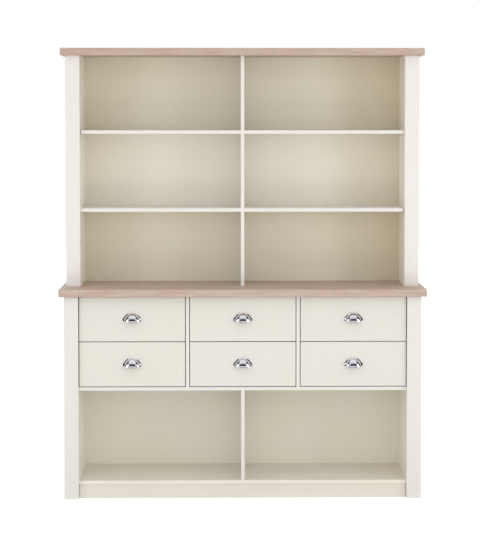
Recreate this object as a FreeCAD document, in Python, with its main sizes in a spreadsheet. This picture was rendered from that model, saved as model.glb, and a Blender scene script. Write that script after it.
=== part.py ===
"""Dresser with hutch: a six-drawer base with two open compartments, and a shelved hutch on it.

Millimetres. X runs to the right, Y to the back, Z up. The origin is on the floor, in the
middle of the width and of the worktop's depth. The fronts face -Y.
"""
import FreeCAD, Part
import math
import os
import re
import Sketcher

NODE_FOLDER = "parts"
LEFT, RIGHT = -1, 1
SIDE_NAMES = {LEFT: "left", RIGHT: "right"}

# ---------------------------------------------------------------------------------------
# Sizes. Every driving dimension is a cell of the sheet, and the derived cells follow them.
# ---------------------------------------------------------------------------------------
SIZES = [
    ("overall_width", 1584, "worktop and hutch top, end to end"),
    ("overall_depth", 400, "worktop, front to back"),
    ("slab_thickness", 32, "worktop and hutch top"),
    ("slab_overhang", 21, "slab past the posts, at the front and at each end"),
    ("slab_round", 2, "rounding of the slabs' edges"),
    ("board", 15, "every carcass board and the post planks"),
    ("post_width", 62, "face of a corner post"),
    ("post_depth", 60, "return of a corner post along the side"),
    ("post_round", 1, "rounding of a post's outer corner"),
    ("plinth_height", 62, "floor to bottom shelf"),
    ("plinth_setback", 5, "plinth behind the edge of the bottom shelf"),
    ("plinth_end_gap", 2, "plinth short of each side panel"),
    ("niche_height", 392, "open compartments of the base"),
    ("hutch_depth", 255, "hutch posts' face to the back"),
    ("hutch_bay_height", 326, "one open compartment of the hutch"),
    ("shelf_slack", 5, "hutch shelf shorter than the room between the side panels"),
    ("shelf_shift", 2.2, "how far a loose hutch shelf stands off the middle"),
    ("back_thickness", 3, "hardboard back sheets"),
    ("front_height", 192.5, "drawer front"),
    ("front_thickness", 15, "drawer front"),
    ("front_row_gap", 3, "above, between and below the drawer fronts"),
    ("front_side_gap", 3, "each side of a drawer front"),
    ("front_round", 1.5, "rounding of a drawer front's outer edges"),
    ("box_side_gap", 6, "drawer box to the wall of its bay"),
    ("box_lift", 10, "drawer box above the lower edge of its front"),
    ("box_height", 140, "drawer sides"),
    ("box_length", 335, "drawer sides, front to back"),
    ("box_board", 12, "drawer sides and drawer back"),
    ("bottom_thickness", 3, "drawer bottom"),
    ("bottom_groove_depth", 5, "groove that holds the drawer bottom"),
    ("bottom_groove_lift", 10, "groove of the drawer bottom above the box's lower edge"),
    ("runner_height", 15, "guide strip on the wall of a bay"),
    ("runner_groove_depth", 7, "groove in a drawer side"),
    ("runner_groove_stop", 20, "closed stretch of the groove behind the front"),
    ("runner_end_gap", 1, "guide strip to the bottom of the groove"),
    ("runner_top_gap", 0.3, "guide strip to the groove above it"),
    ("runner_foot_gap", 0.7, "guide strip to the groove below it"),
    ("runner_rear_gap", 7, "guide strip short of the back sheet"),
    ("fit_clearance", 0.1, "play around cams, pins and drawer bottoms"),
    ("cam_radius", 7.5, "cam lock"),
    ("cam_length", 12.5, "cam lock, as deep as its bore"),
    ("cam_setback", 34, "cam's centre behind the panel's front edge"),
    ("cam_slot_width", 1.6, "screwdriver slot in the cam"),
    ("cam_slot_length", 9, "screwdriver slot in the cam"),
    ("cam_slot_depth", 1.5, "screwdriver slot in the cam"),
    ("base_cam_low", 115, "height of the lowest cams of the base"),
    ("base_cam_high", 780, "height of the cams behind the upper drawers"),
    ("hutch_cam_low", 190, "lowest hutch cams above the worktop"),
    ("hutch_cam_pitch", 325, "hutch cams, one above the other"),
    ("pin_radius", 2.5, "shelf pin"),
    ("pin_length", 17, "shelf pin"),
    ("pin_bore_depth", 8, "shelf pin's bore in the side panel"),
    ("pin_front", 37, "front pins behind the hutch panels' front edge"),
    ("pin_rear", 50, "rear pins before the panels' rear edge"),
    ("pull_length", 82, "cup pull, ear to ear"),
    ("pull_drop", 2, "pull's axis below the middle of the drawer front"),
    ("pull_crown_radius", 21, "dome's round top, outside"),
    ("pull_crown_rise", 5, "centre of the dome's round top off the pull's axis"),
    ("pull_slope", 38, "slope of the dome's shoulders, degrees"),
    ("pull_wall", 2, "wall of the dome"),
    ("pull_mouth_angle", 25, "mouth's plane below the horizontal, degrees"),
    ("pull_lip_sweep", 4.5, "rolled lip along the mouth, degrees around the axis"),
    ("pull_lip_bead", 0.7, "lip proud of the dome, outside and inside"),
    ("pull_lip_start", 3, "ends of the lip off the drawer front"),
    ("pull_flange", 3.5, "flange around the dome"),
    ("pull_flange_thickness", 1.6, "flange"),
]

DERIVED = [
    ("back_plane", "overall_depth / 2", "rear face of everything"),
    ("board_rear", "back_plane - back_thickness", "rear edge of the boards"),
    ("slab_front", "-overall_depth / 2", "front edge of the worktop"),
    ("base_face", "slab_front + slab_overhang", "front face of the base posts"),
    ("base_front", "base_face + board", "front edge of the base boards, face of the drawers"),
    ("hutch_face", "back_plane - hutch_depth", "front face of the hutch posts"),
    ("hutch_front", "hutch_face + board", "front edge of the hutch boards"),
    ("carcass_half", "overall_width / 2 - slab_overhang", "outer face of the posts"),
    ("opening_half", "carcass_half - post_width", "inner face of the side panels"),
    ("panel_outer", "opening_half + board", "outer face of a side panel"),
    ("bay_width", "(2 * opening_half - 2 * board) / 3", "room between two drawer dividers"),
    ("bay_pitch", "bay_width + board", "one drawer bay to the next"),
    ("shelf_top", "plinth_height + board", "upper face of the bottom shelf"),
    ("deck_bottom", "shelf_top + niche_height", "lower face of the drawer deck"),
    ("deck_top", "deck_bottom + board", "upper face of the drawer deck"),
    ("row_pitch", "front_height + front_row_gap", "one row of fronts to the next"),
    ("drawer_zone", "2 * row_pitch + front_row_gap", "deck to worktop"),
    ("base_height", "deck_top + drawer_zone", "floor to the worktop's underside"),
    ("worktop_top", "base_height + slab_thickness", "where the hutch stands"),
    ("hutch_height", "3 * hutch_bay_height + 2 * board", "hutch posts"),
    ("hutch_bay_pitch", "hutch_bay_height + board", "one hutch shelf to the next"),
    ("hutch_top_bottom", "worktop_top + hutch_height", "underside of the hutch top"),
    ("front_back", "base_front + front_thickness", "rear face of a drawer front"),
    ("front_width", "bay_width - 2 * front_side_gap", "drawer front"),
    ("box_half", "bay_width / 2 - box_side_gap", "outer face of a drawer side"),
    ("box_inner_half", "box_half - box_board", "inner face of a drawer side"),
    ("bottom_groove_height", "bottom_thickness + 2 * fit_clearance", "groove of the bottom"),
    ("runner_groove_height", "runner_height + runner_top_gap + runner_foot_gap", "groove"),
    ("runner_groove_low", "(box_height - runner_groove_height) / 2", "above the box's edge"),
    ("runner_width", "box_side_gap + runner_groove_depth - runner_end_gap", "guide strip"),
    ("runner_front", "front_back + runner_groove_stop + runner_top_gap", "stops the drawer"),
    ("runner_length", "board_rear - runner_rear_gap - runner_front", "guide strip"),
    ("pull_reach", "pull_crown_radius + pull_crown_rise", "dome, from its axis"),
    ("pull_shoulder", "pull_crown_rise * cos(pull_slope) + pull_crown_radius",
     "slope's distance from the axis"),
    ("pull_ear_radius",
     "(pull_shoulder + pull_flange - pull_length / 2 * sin(pull_slope)) / (1 - sin(pull_slope))",
     "ear, round enough to meet the slope of the flange"),
    ("pull_ear_centre", "pull_length / 2 - pull_ear_radius", "ear"),
]

doc = FreeCAD.newDocument("DresserWithHutch")
sheet = doc.addObject("Spreadsheet::Sheet", "Sizes")
ALIASES = [row[0] for row in SIZES + DERIVED]
ALIAS_WORDS = re.compile(r"\b(%s)\b" % "|".join(ALIASES))


def write_sheet():
    """One row for each size: its name, its value or formula, and what it measures."""
    for row, (alias, value, note) in enumerate(SIZES + DERIVED, start=1):
        sheet.set("A%d" % row, alias)
        sheet.set("B%d" % row, str(value) if row <= len(SIZES) else "=" + value)
        sheet.set("C%d" % row, note)
        sheet.setAlias("B%d" % row, alias)
    doc.recompute()


def formula(text):
    """The formula with the sheet's name put before each of its sizes."""
    return ALIAS_WORDS.sub(r"Sizes.\1", str(text))


def number(text):
    """What a formula comes to now."""
    return float(sheet.evalExpression(formula(text)))


def bind(item, **formulas):
    """Bind properties of an object to formulas on the sheet."""
    for name, text in formulas.items():
        item.setExpression(name, formula(text))


def place(item, x, y, z):
    """Bind the place of an object to three formulas."""
    for axis, text in zip("xyz", (x, y, z)):
        item.setExpression("Placement.Base." + axis, formula(text))


def side_low(side, inner, thickness):
    """Low X of a board whose inner face lies `inner` off the middle, on one side."""
    if side == LEFT:
        return "-(%s) - (%s)" % (inner, thickness)
    return "%s" % inner


# ---------------------------------------------------------------------------------------
# Building blocks
# ---------------------------------------------------------------------------------------
def board(label, corner, size):
    """A plain board: its low corner and its length, width and height."""
    item = doc.addObject("Part::Box", label)
    bind(item, Length=size[0], Width=size[1], Height=size[2])
    place(item, *corner)
    return item


def rod(label, radius, length, start, axis):
    """A round rod or bore that starts at a point and runs along +X, +Y or +Z."""
    item = doc.addObject("Part::Cylinder", label)
    bind(item, Radius=radius, Height=length)
    turns = {
        "X": FreeCAD.Rotation(FreeCAD.Vector(0, 1, 0), 90),
        "Y": FreeCAD.Rotation(FreeCAD.Vector(1, 0, 0), -90),
        "Z": FreeCAD.Rotation(),
    }
    item.Placement.Rotation = turns[axis]
    place(item, *start)
    return item


def group(label, members):
    """Identical separate solids that share one node."""
    item = doc.addObject("Part::Compound", label)
    item.Links = members
    return item


def cut(label, blank, tools):
    """The blank with bores, grooves or slots cut out of it."""
    tool = group(label + "_tools", tools)
    item = doc.addObject("Part::Cut", label)
    item.Base = blank
    item.Tool = tool
    return item


def rounded(label, blank, radius, wanted):
    """The blank with a rounding along each edge whose box is wanted."""
    doc.recompute()
    item = doc.addObject("Part::Fillet", label)
    item.Base = blank
    size = number(radius)
    edges = [i for i, edge in enumerate(blank.Shape.Edges, start=1) if wanted(edge.BoundBox)]
    item.Edges = [(i, size, size) for i in edges]
    return item


def new_body(label):
    """A PartDesign body with its own label."""
    return doc.addObject("PartDesign::Body", label)


def new_sketch(body, role, name):
    """A sketch on one of the body's origin planes, found by its role."""
    sketch = body.newObject("Sketcher::SketchObject", name)
    plane = next(item for item in body.Origin.OriginFeatures if item.Role == role)
    sketch.AttachmentSupport = (plane, "")
    sketch.MapMode = "FlatFace"
    return sketch


def fix(sketch, geometry, point, axis, text):
    """Hold a sketch point at a formula's distance from the origin, along X or Y."""
    if text == "0":
        line = -2 if axis == "X" else -1
        sketch.addConstraint(Sketcher.Constraint("PointOnObject", geometry, point, line))
        return
    kind = "Distance" + axis
    value = number(text)
    index = sketch.addConstraint(Sketcher.Constraint(kind, -1, 1, geometry, point, value))
    sketch.setExpression("Constraints[%d]" % index, formula(text))


def set_radius(sketch, geometry, text):
    """Bind the radius of an arc or a circle."""
    index = sketch.addConstraint(Sketcher.Constraint("Radius", geometry, number(text)))
    sketch.setExpression("Constraints[%d]" % index, formula(text))


def draw_polygon(sketch, corners):
    """A closed outline of straight edges through corners given as pairs of formulas."""
    points = [FreeCAD.Vector(number(x), number(y), 0) for x, y in corners]
    lines = []
    for start, end in zip(points, points[1:] + points[:1]):
        lines.append(sketch.addGeometry(Part.LineSegment(start, end), False))
    for line, following in zip(lines, lines[1:] + lines[:1]):
        sketch.addConstraint(Sketcher.Constraint("Coincident", line, 2, following, 1))
    for line, (x, y) in zip(lines, corners):
        fix(sketch, line, 1, "X", x)
        fix(sketch, line, 1, "Y", y)


def draw_circle(sketch, x, y, radius):
    """A circle whose centre and radius are formulas."""
    centre = FreeCAD.Vector(number(x), number(y), 0)
    circle = Part.Circle(centre, FreeCAD.Vector(0, 0, 1), number(radius))
    geometry = sketch.addGeometry(circle, False)
    fix(sketch, geometry, 3, "X", x)
    fix(sketch, geometry, 3, "Y", y)
    set_radius(sketch, geometry, radius)


def add_feature(body, kind, name, sketch, **formulas):
    """A Pad, Pocket or Revolution of a sketch, with its sizes bound."""
    feature = body.newObject("PartDesign::" + kind, name)
    feature.Profile = sketch
    bind(feature, **formulas)
    sketch.Visibility = False
    return feature


def round_edges(body, name, radius, wanted):
    """Round the edges of a body's last feature whose box, in body coordinates, is wanted."""
    doc.recompute()
    solid = body.Tip
    edges = ["Edge%d" % i for i, edge in enumerate(solid.Shape.Edges, start=1)
             if wanted(edge.BoundBox)]
    rounding = body.newObject("PartDesign::Fillet", name)
    rounding.Base = (solid, edges)
    bind(rounding, Radius=radius)
    return rounding


# ---------------------------------------------------------------------------------------
# Where cams and shelf pins go. The panels' bores read the same lists.
# ---------------------------------------------------------------------------------------
BASE_CAMS = [("base_front + cam_setback", z) for z in ("base_cam_low", "base_cam_high")]
HUTCH_CAMS = [("hutch_front + cam_setback",
               "worktop_top + hutch_cam_low + %d * hutch_cam_pitch" % i) for i in range(3)]

SHELF_LOWS = ["worktop_top + hutch_bay_height + %d * hutch_bay_pitch" % i for i in range(2)]
SHELF_PINS = [(y, "%s - pin_radius" % z) for z in SHELF_LOWS
              for y in ("hutch_front + pin_front", "board_rear - pin_rear")]


# ---------------------------------------------------------------------------------------
# Carcass
# ---------------------------------------------------------------------------------------
def make_slab(label, front, low):
    """Worktop or hutch top: a thick board, its long edges rounded above and below."""
    blank = board(label + "_blank", ("-overall_width / 2", front, low),
                  ("overall_width", "back_plane - (%s)" % front, "slab_thickness"))
    rear = number("back_plane")
    return rounded(label, blank, "slab_round",
                   lambda box: box.YMin < rear - 1 and box.ZLength < 1)


def make_front_post(label, side, face, low, height):
    """L-shaped corner post: a plank in front and a return along the side."""
    body = new_body(label)
    place(body, "%d * carcass_half" % side, face, low)
    profile = new_sketch(body, "XY_Plane", "Section")
    inward = -side
    draw_polygon(profile, [("0", "0"),
                           ("%d * post_width" % inward, "0"),
                           ("%d * post_width" % inward, "board"),
                           ("%d * board" % inward, "board"),
                           ("%d * board" % inward, "post_depth"),
                           ("0", "post_depth")])
    add_feature(body, "Pad", "Post", profile, Length=height)
    round_edges(body, "OuterCorner", "post_round",
                lambda box: abs(box.Center.x) < 0.01 and abs(box.Center.y) < 0.01)
    return body


def make_rear_post(label, side, low, height):
    """L-shaped post around the rear edge of a side panel, beside the back sheets."""
    body = new_body(label)
    place(body, "%d * carcass_half" % side, "back_plane", low)
    profile = new_sketch(body, "XY_Plane", "Section")
    inward = -side
    draw_polygon(profile, [("0", "0"),
                           ("0", "-post_depth"),
                           ("%d * board" % inward, "-post_depth"),
                           ("%d * board" % inward, "-board"),
                           ("%d * (post_width - board)" % inward, "-board"),
                           ("%d * (post_width - board)" % inward, "0")])
    add_feature(body, "Pad", "Post", profile, Length=height)
    return body


def make_side_panel(label, side, front, low, height, cams, pins):
    """Side panel, bored on its inner face for the cam locks and the shelf pins."""
    blank = board(label + "_blank", (side_low(side, "opening_half", "board"), front, low),
                  ("board", "board_rear - %s" % front, height))
    tools = []
    for kind, radius, depth, places in (("cam", "cam_radius", "cam_length", cams),
                                        ("pin", "pin_radius", "pin_bore_depth", pins)):
        for i, (y, z) in enumerate(places):
            start = (side_low(side, "opening_half", depth + " + fit_clearance"), y, z)
            tools.append(rod("%s_%s_bore_%d" % (label, kind, i), radius + " + fit_clearance",
                             depth + " + fit_clearance", start, "X"))
    return cut(label, blank, tools)


def make_hutch_shelf(label, index, shift):
    """A loose shelf on four pins, a little off the middle."""
    return board(label, ("-opening_half + shelf_slack / 2 + %d * shelf_shift" % shift,
                         "hutch_front", SHELF_LOWS[index]),
                 ("2 * opening_half - shelf_slack", "board_rear - hutch_front", "board"))


def make_hutch_divider(label, index):
    """One of the three upright pieces in the middle of the hutch."""
    return board(label, ("-board / 2", "hutch_front",
                         "worktop_top + %d * hutch_bay_pitch" % index),
                 ("board", "board_rear - hutch_front", "hutch_bay_height"))


def make_back_sheets(label, low, height):
    """Two hardboard sheets nailed to the rear edges, meeting in the middle."""
    sheets = [board("%s_%s" % (label, SIDE_NAMES[side]),
                    (side_low(side, "0", "panel_outer"), "board_rear", low),
                    ("panel_outer", "back_thickness", height))
              for side in (LEFT, RIGHT)]
    return group(label, sheets)


def make_base():
    """Everything of the base that stays where it is, without its fasteners."""
    nodes = [
        make_slab("worktop", "slab_front", "base_height"),
        board("drawer_deck", ("-opening_half", "base_front", "deck_bottom"),
              ("2 * opening_half", "board_rear - base_front", "board")),
        board("bottom_shelf", ("-opening_half", "base_front", "plinth_height"),
              ("2 * opening_half", "board_rear - base_front", "board")),
        board("lower_divider", ("-board / 2", "base_front", "shelf_top"),
              ("board", "board_rear - base_front", "niche_height")),
        board("plinth",
              ("-opening_half + plinth_end_gap", "base_front + plinth_setback", "0"),
              ("2 * (opening_half - plinth_end_gap)", "board", "plinth_height")),
        make_back_sheets("base_back_panels", "plinth_height", "base_height - plinth_height"),
    ]
    for side in (LEFT, RIGHT):
        name = SIDE_NAMES[side]
        nodes += [
            make_front_post("base_post_front_" + name, side, "base_face", "0", "base_height"),
            make_rear_post("base_post_rear_" + name, side, "0", "base_height"),
            make_side_panel("base_side_" + name, side, "base_front", "0", "base_height",
                            BASE_CAMS, []),
            board("drawer_divider_" + name,
                  ("%d * bay_pitch / 2 - board / 2" % side, "base_front", "deck_top"),
                  ("board", "board_rear - base_front", "drawer_zone")),
        ]
    return nodes


def make_hutch():
    """The hutch without its fasteners."""
    nodes = [
        make_slab("hutch_top", "hutch_face - slab_overhang", "hutch_top_bottom"),
        make_back_sheets("hutch_back_panels", "worktop_top", "hutch_height"),
        make_hutch_shelf("hutch_shelf_lower", 0, LEFT),
        make_hutch_shelf("hutch_shelf_upper", 1, RIGHT),
    ]
    for index, name in enumerate(("lower", "middle", "upper")):
        nodes.append(make_hutch_divider("hutch_divider_" + name, index))
    for side in (LEFT, RIGHT):
        name = SIDE_NAMES[side]
        nodes += [
            make_front_post("hutch_post_front_" + name, side, "hutch_face", "worktop_top",
                            "hutch_height"),
            make_rear_post("hutch_post_rear_" + name, side, "worktop_top", "hutch_height"),
            make_side_panel("hutch_side_" + name, side, "hutch_front", "worktop_top",
                            "hutch_height", HUTCH_CAMS, SHELF_PINS),
        ]
    return nodes


# ---------------------------------------------------------------------------------------
# Fasteners
# ---------------------------------------------------------------------------------------
def copy_of(master, label, rotation, x, y, z):
    """A copy of a finished piece, turned and put in its place."""
    link = doc.addObject("App::Link", label)
    link.LinkedObject = master
    link.Placement.Rotation = rotation
    place(link, x, y, z)
    return link


def make_cam_master():
    """Cam lock: a disc with a screwdriver slot. Its face is at its origin, looking up +Z."""
    body = new_body("CamLockMaster")
    disc = new_sketch(body, "XY_Plane", "Disc")
    draw_circle(disc, "0", "0", "cam_radius")
    barrel = add_feature(body, "Pad", "Barrel", disc, Length="cam_length")
    barrel.Reversed = True
    slot = new_sketch(body, "XY_Plane", "Slot")
    draw_polygon(slot, [("-cam_slot_length / 2", "-cam_slot_width / 2"),
                        ("cam_slot_length / 2", "-cam_slot_width / 2"),
                        ("cam_slot_length / 2", "cam_slot_width / 2"),
                        ("-cam_slot_length / 2", "cam_slot_width / 2")])
    add_feature(body, "Pocket", "DriveSlot", slot, Length="cam_slot_depth")
    return body


def make_cam_locks():
    """The cam locks in the side panels, which draw the front posts to them."""
    master = make_cam_master()
    upright = FreeCAD.Vector(0, 0, 1)
    cams = []
    for side in (LEFT, RIGHT):
        inward = FreeCAD.Vector(-side, 0, 0)
        turn = FreeCAD.Rotation(upright, inward.cross(upright), inward, "ZXY")
        for y, z in BASE_CAMS + HUTCH_CAMS:
            cams.append(copy_of(master, "cam_%d" % len(cams), turn,
                                "%d * opening_half" % side, y, z))
    return group("cam_locks", cams)


def make_shelf_pins():
    """Steel pins under the ends of the hutch shelves."""
    pins = [rod("pin_%s_%d" % (SIDE_NAMES[side], i), "pin_radius", "pin_length",
                (side_low(side, "opening_half + pin_bore_depth - pin_length", "pin_length"),
                 y, z), "X")
            for side in (LEFT, RIGHT) for i, (y, z) in enumerate(SHELF_PINS)]
    return group("shelf_pins", pins)


def make_runners():
    """Twelve guide strips, one on each wall of each drawer bay and row."""
    strips = []
    for column in (-1, 0, 1):
        for row in (0, 1):
            low = ("deck_top + front_row_gap + %d * row_pitch + box_lift"
                   " + runner_groove_low + runner_foot_gap" % row)
            for side in (LEFT, RIGHT):
                x = "%d * bay_pitch + (%s)" % (
                    column, side_low(side, "bay_width / 2 - runner_width", "runner_width"))
                strips.append(board("runner_%d" % len(strips), (x, "runner_front", low),
                                    ("runner_width", "runner_length", "runner_height")))
    return group("drawer_runners", strips)


# ---------------------------------------------------------------------------------------
# Drawers
# ---------------------------------------------------------------------------------------
def make_drawer_front(label, x, low):
    """Drawer front: rounded outer edges, and a groove for the bottom in its back."""
    body = new_body(label)
    place(body, x, "front_back", low)
    outline = new_sketch(body, "XZ_Plane", "Outline")
    draw_polygon(outline, [("-front_width / 2", "0"), ("front_width / 2", "0"),
                           ("front_width / 2", "front_height"),
                           ("-front_width / 2", "front_height")])
    add_feature(body, "Pad", "Front", outline, Length="front_thickness")
    face = -number("front_thickness")
    round_edges(body, "OuterEdges", "front_round",
                lambda box: abs(box.YMax - face) < 0.01)
    groove = new_sketch(body, "XZ_Plane", "BottomGroove")
    low_edge = "box_lift + bottom_groove_lift"
    draw_polygon(groove, [("-box_half", low_edge), ("box_half", low_edge),
                          ("box_half", low_edge + " + bottom_groove_height"),
                          ("-box_half", low_edge + " + bottom_groove_height")])
    pocket = add_feature(body, "Pocket", "Groove", groove, Length="bottom_groove_depth")
    pocket.Reversed = True
    return body


def make_drawer_side(label, side, x, low):
    """Drawer side: a stopped runner groove outside and a groove for the bottom inside."""
    blank = board(label + "_blank",
                  ("%s + (%s)" % (x, side_low(side, "box_inner_half", "box_board")),
                   "front_back", low),
                  ("box_board", "box_length", "box_height"))
    runner = board(label + "_runner_groove",
                   ("%s + (%s)" % (x, side_low(side, "box_half - runner_groove_depth",
                                               "runner_groove_depth")),
                    "front_back + runner_groove_stop", "%s + runner_groove_low" % low),
                   ("runner_groove_depth", "box_length", "runner_groove_height"))
    bottom = board(label + "_bottom_groove",
                   ("%s + (%s)" % (x, side_low(side, "box_inner_half", "bottom_groove_depth")),
                    "front_back", "%s + bottom_groove_lift" % low),
                   ("bottom_groove_depth", "box_length", "bottom_groove_height"))
    return cut(label, blank, [runner, bottom])


def draw_crown(sketch, offset):
    """Slope, round top and slope of the dome, `offset` outside its outer face.

    The slopes are tangent to the round top. Returns the right slope, which starts low, the
    arc, and the left slope, which ends low.
    """
    radius = "pull_crown_radius + (%s)" % offset
    size = number(radius)
    lean = 90 - number("pull_slope")
    centre = FreeCAD.Vector(0, number("pull_crown_rise"), 0)
    foot = FreeCAD.Vector(number("(pull_shoulder + (%s)) / sin(pull_slope)" % offset), 0, 0)
    upright = FreeCAD.Vector(0, 0, 1)
    shoulder = centre + FreeCAD.Rotation(upright, lean).multVec(FreeCAD.Vector(size, 0, 0))
    mirrored = FreeCAD.Vector(-shoulder.x, shoulder.y, 0)
    top = Part.ArcOfCircle(Part.Circle(centre, upright, size),
                           math.radians(lean), math.radians(180 - lean))
    right = sketch.addGeometry(Part.LineSegment(foot, shoulder), False)
    crown = sketch.addGeometry(top, False)
    left = sketch.addGeometry(Part.LineSegment(mirrored, -foot), False)
    fix(sketch, crown, 3, "X", "0")
    fix(sketch, crown, 3, "Y", "pull_crown_rise")
    set_radius(sketch, crown, radius)
    sketch.addConstraint(Sketcher.Constraint("Tangent", right, 2, crown, 1))
    sketch.addConstraint(Sketcher.Constraint("Tangent", crown, 2, left, 1))
    return right, crown, left


def draw_bell(sketch, offset, base):
    """The crown closed by two short uprights and a straight base, `base` beyond the axis."""
    right, crown, left = draw_crown(sketch, offset)
    foot = "(pull_shoulder + (%s)) / sin(pull_slope)" % offset
    for line, point, side in ((right, 1, RIGHT), (left, 2, LEFT)):
        fix(sketch, line, point, "X", "%d * (%s)" % (side, foot))
        fix(sketch, line, point, "Y", "0")
    reach, depth = number(foot), number(base)
    corners = [FreeCAD.Vector(x, y, 0) for x, y in
               ((-reach, 0), (-reach, -depth), (reach, -depth), (reach, 0))]
    lines = [sketch.addGeometry(Part.LineSegment(start, end), False)
             for start, end in zip(corners, corners[1:])]
    sketch.addConstraint(Sketcher.Constraint("Coincident", left, 2, lines[0], 1))
    sketch.addConstraint(Sketcher.Constraint("Coincident", lines[0], 2, lines[1], 1))
    sketch.addConstraint(Sketcher.Constraint("Coincident", lines[1], 2, lines[2], 1))
    sketch.addConstraint(Sketcher.Constraint("Coincident", lines[2], 2, right, 1))
    sketch.addConstraint(Sketcher.Constraint("Vertical", lines[0]))
    sketch.addConstraint(Sketcher.Constraint("Vertical", lines[2]))
    sketch.addConstraint(Sketcher.Constraint("Horizontal", lines[1]))
    fix(sketch, lines[1], 1, "Y", "-(%s)" % base)


def draw_sector(sketch, radius, start, end):
    """A slice of a disc about the origin, between two angles in degrees."""
    size, turns = number(radius), [number(start), number(end)]
    upright = FreeCAD.Vector(0, 0, 1)
    tips = [FreeCAD.Rotation(upright, turn).multVec(FreeCAD.Vector(size, 0, 0))
            for turn in turns]
    rim = sketch.addGeometry(
        Part.ArcOfCircle(Part.Circle(FreeCAD.Vector(), upright, size),
                         math.radians(turns[0]), math.radians(turns[1])), False)
    arms = [sketch.addGeometry(Part.LineSegment(FreeCAD.Vector(), tip), False) for tip in tips]
    fix(sketch, rim, 3, "X", "0")
    fix(sketch, rim, 3, "Y", "0")
    for point, arm, turn in ((1, arms[0], start), (2, arms[1], end)):
        sketch.addConstraint(Sketcher.Constraint("Coincident", arm, 1, -1, 1))
        sketch.addConstraint(Sketcher.Constraint("Coincident", arm, 2, rim, point))
        fix(sketch, arm, 2, "X", "(%s) * cos(%s)" % (radius, turn))
    set_radius(sketch, rim, radius)


def draw_flange(sketch):
    """Outline of the flange: around the dome and both ears, open for the fingers."""
    radius, slope = number("pull_ear_radius"), number("pull_slope")
    right, crown, left = draw_crown(sketch, "pull_flange")
    inner_right, inner_crown, inner_left = draw_crown(sketch, "-pull_wall")
    foot = "(pull_shoulder - pull_wall) / sin(pull_slope)"
    edge = "pull_ear_centre - pull_ear_radius"
    for side, line, point, start, end, tangent, inner, inner_point in (
            (RIGHT, right, 1, 180, 450 - slope, 2, inner_right, 1),
            (LEFT, left, 2, 90 + slope, 360, 1, inner_left, 2)):
        centre = FreeCAD.Vector(side * number("pull_ear_centre"), 0, 0)
        circle = Part.Circle(centre, FreeCAD.Vector(0, 0, 1), radius)
        arc = Part.ArcOfCircle(circle, math.radians(start), math.radians(end))
        ear = sketch.addGeometry(arc, False)
        fix(sketch, ear, 3, "X", "%d * pull_ear_centre" % side)
        fix(sketch, ear, 3, "Y", "0")
        set_radius(sketch, ear, "pull_ear_radius")
        sketch.addConstraint(Sketcher.Constraint("Tangent", ear, tangent, line, point))
        x = side * number(edge)
        height = number("(%s - (%s)) * tan(pull_slope)" % (foot, edge))
        riser = sketch.addGeometry(
            Part.LineSegment(FreeCAD.Vector(x, 0, 0), FreeCAD.Vector(x, height, 0)), False)
        sketch.addConstraint(Sketcher.Constraint("Coincident", ear, 3 - tangent, riser, 1))
        sketch.addConstraint(Sketcher.Constraint("Coincident", riser, 2, inner, inner_point))
        fix(sketch, riser, 1, "Y", "0")
        fix(sketch, riser, 2, "X", "%d * (%s)" % (side, edge))
        fix(sketch, riser, 2, "Y", "(%s - (%s)) * tan(pull_slope)" % (foot, edge))


# How a sketch is turned to look at the pull from the front, from above or from its left end.
FROM_FRONT = FreeCAD.Rotation(FreeCAD.Vector(1, 0, 0), 90)
FROM_ABOVE = FreeCAD.Rotation(FreeCAD.Vector(1, 0, 0), 180)
FROM_END = FreeCAD.Rotation(FreeCAD.Vector(0, -1, 0), FreeCAD.Vector(0, 0, 1),
                            FreeCAD.Vector(-1, 0, 0), "ZXY")


def prism(label, view, draw, length, both_ways=False):
    """An outline, drawn as one view of the pull, pushed out of its plane."""
    sketch = doc.addObject("Sketcher::SketchObject", label + "_outline")
    sketch.Placement.Rotation = view
    draw(sketch)
    item = doc.addObject("Part::Extrusion", label)
    item.Base = sketch
    item.DirMode = "Normal"
    item.Solid = True
    item.Symmetric = both_ways
    bind(item, LengthFwd=length)
    return item


def make_dome(label, offset, sector, standoff):
    """Where three outlines meet: from the front, from above and from the end.

    `offset` is outside the pull's outer face, `sector` the angles around the pull's axis from
    straight forward, and `standoff` how far before the drawer's face it begins.
    """
    reach = "pull_reach + (%s)" % offset
    start, end = sector
    front = prism(label + "_front", FROM_FRONT,
                  lambda sketch: draw_bell(sketch, offset, reach), reach)
    bind(front.Base, **{"Placement.Base.y": "-(%s)" % standoff})
    above = prism(label + "_above", FROM_ABOVE,
                  lambda sketch: draw_bell(sketch, offset, "pull_flange"),
                  "2 * (%s)" % reach, True)
    side = prism(label + "_side", FROM_END,
                 lambda sketch: draw_sector(sketch, reach, start, end), "2 * pull_length", True)
    dome = doc.addObject("Part::MultiCommon", label)
    dome.Shapes = [front, above, side]
    return dome


def make_shell(label, outside, inside, sector, standoff):
    """The wall between two domes, open at the drawer's face and at the mouth."""
    shell = doc.addObject("Part::Cut", label)
    shell.Base = make_dome(label + "_outer", outside, sector, standoff)
    shell.Tool = make_dome(label + "_inner", inside, sector, standoff)
    return shell


def make_pull_master():
    """Cup pull: a hollow dome, a rolled lip along its mouth, and a flange with two ears.

    Its axis is its own X, and its back lies in the plane of the drawer's face.
    """
    mouth = "-pull_mouth_angle"
    dome = make_shell("PullDome", "0", "-pull_wall", (mouth, "90"), "0")
    lip = make_shell("PullLip", "pull_lip_bead", "-pull_wall - pull_lip_bead",
                     (mouth, mouth + " + pull_lip_sweep"), "pull_lip_start")
    flange = prism("PullFlange", FROM_FRONT, draw_flange, "pull_flange_thickness")
    pull = doc.addObject("Part::MultiFuse", "CupPullMaster")
    pull.Shapes = [dome, lip, flange]
    return pull


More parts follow.
